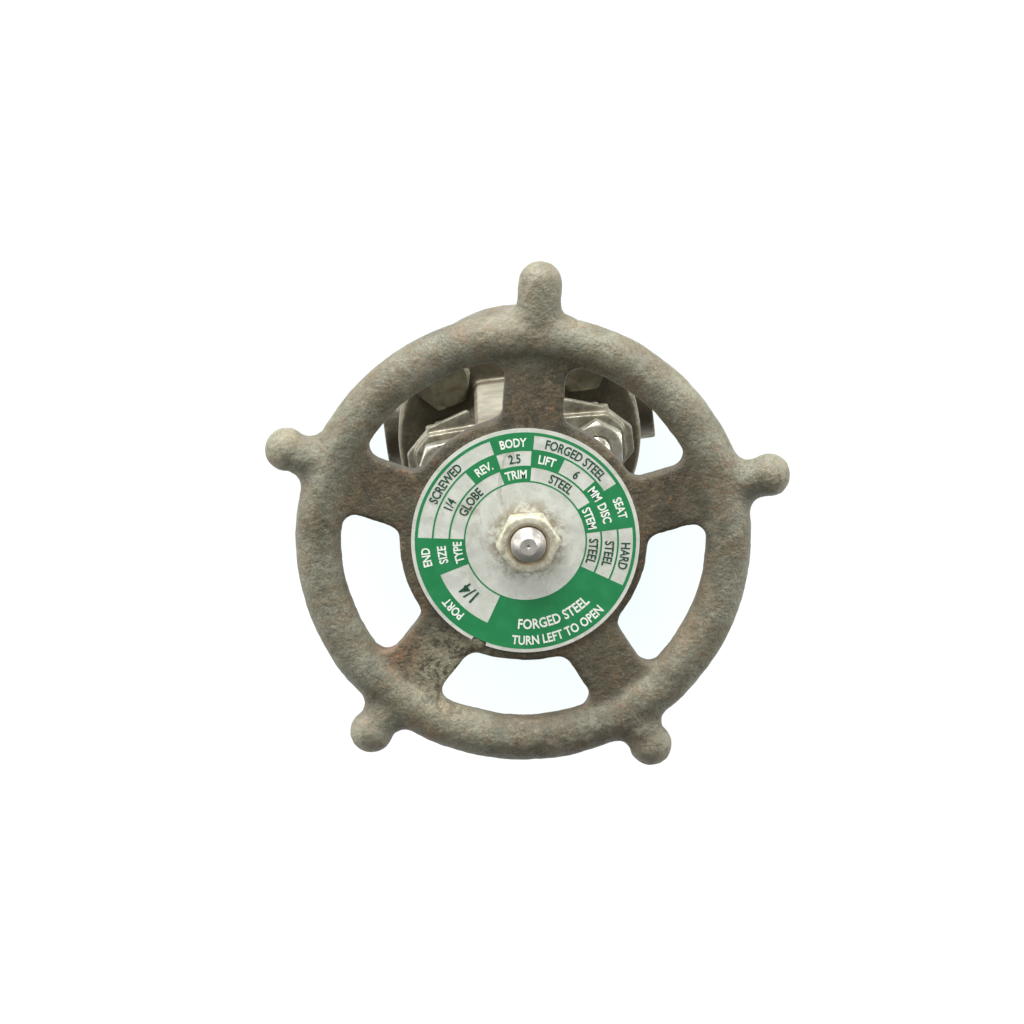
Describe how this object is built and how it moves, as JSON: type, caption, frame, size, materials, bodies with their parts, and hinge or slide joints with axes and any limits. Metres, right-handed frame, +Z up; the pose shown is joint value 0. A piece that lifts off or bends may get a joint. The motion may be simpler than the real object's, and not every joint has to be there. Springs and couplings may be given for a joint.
{
  "type": "globe valve",
  "caption": "Small forged-steel globe valve with bolted bonnet, outside screw and yoke, packed gland, and a knobbed cast handwheel that screws a swivel disc onto its seat.",
  "frame": {"origin": "centre of the flat foot under the body, on the stem axis", "axes": "+Z up the stem towards the handwheel, +X along the flow towards the outlet port"},
  "size_m": [0.1152, 0.1169, 0.19],
  "materials": {
    "forged_steel": "dark forged scale, weathered",
    "wheel_iron": "as cast, old paint, rust speckle",
    "bolting": "dark oiled steel",
    "hard_trim": "machined stainless",
    "stainless": "satin stainless",
    "stem_steel": "turned and ground stainless",
    "plated_steel": "dull plating, worn",
    "bushing_iron": "machined iron",
    "gasket_metal": "spiral-wound strip and filler",
    "graphite_packing": "moulded graphite",
    "plate_aluminium": "satin with green print"
  },
  "bodies": {
    "valve": {"body": "forged_steel", "seat_ring": "hard_trim", "bonnet_gasket": "gasket_metal", "bonnet": "forged_steel", "backseat_bushing": "hard_trim", "bonnet_bolts": "bolting", "packing_washer": "hard_trim", "packing_ring_1": "graphite_packing", "packing_ring_2": "graphite_packing", "packing_ring_3": "graphite_packing", "packing_ring_4": "graphite_packing", "packing_ring_5": "graphite_packing", "gland_bushing": "stainless", "gland_flange": "plated_steel", "gland_eyebolts": "stainless", "gland_eyebolt_pins": "stainless", "gland_nuts": "plated_steel", "yoke_bushing": "bushing_iron", "yoke_bushing_set_screw": "bolting"},
    "disc_set": {"disc": "hard_trim", "disc_thrust_plate": "hard_trim", "disc_nut": "hard_trim"},
    "wheel_and_stem": {"stem": "stem_steel", "handwheel": "wheel_iron", "nameplate": "plate_aluminium", "handwheel_nut": "plated_steel"}
  },
  "joints": [
    {"name": "stem_lift", "type": "slide", "parent": "valve", "child": "disc_set", "axis": [0, 0, 1], "range_m": [0, 0.00636]},
    {"name": "wheel_turn", "type": "hinge", "parent": "disc_set", "child": "wheel_and_stem", "pos_m": [0, 0, 0.18], "axis": [0, 0, 1], "range_deg": [0, 900]}
  ],
  "couplings": [
    {"joint": "stem_lift", "follows": "wheel_turn", "m_per_rad": 0.00040425}
  ]
}
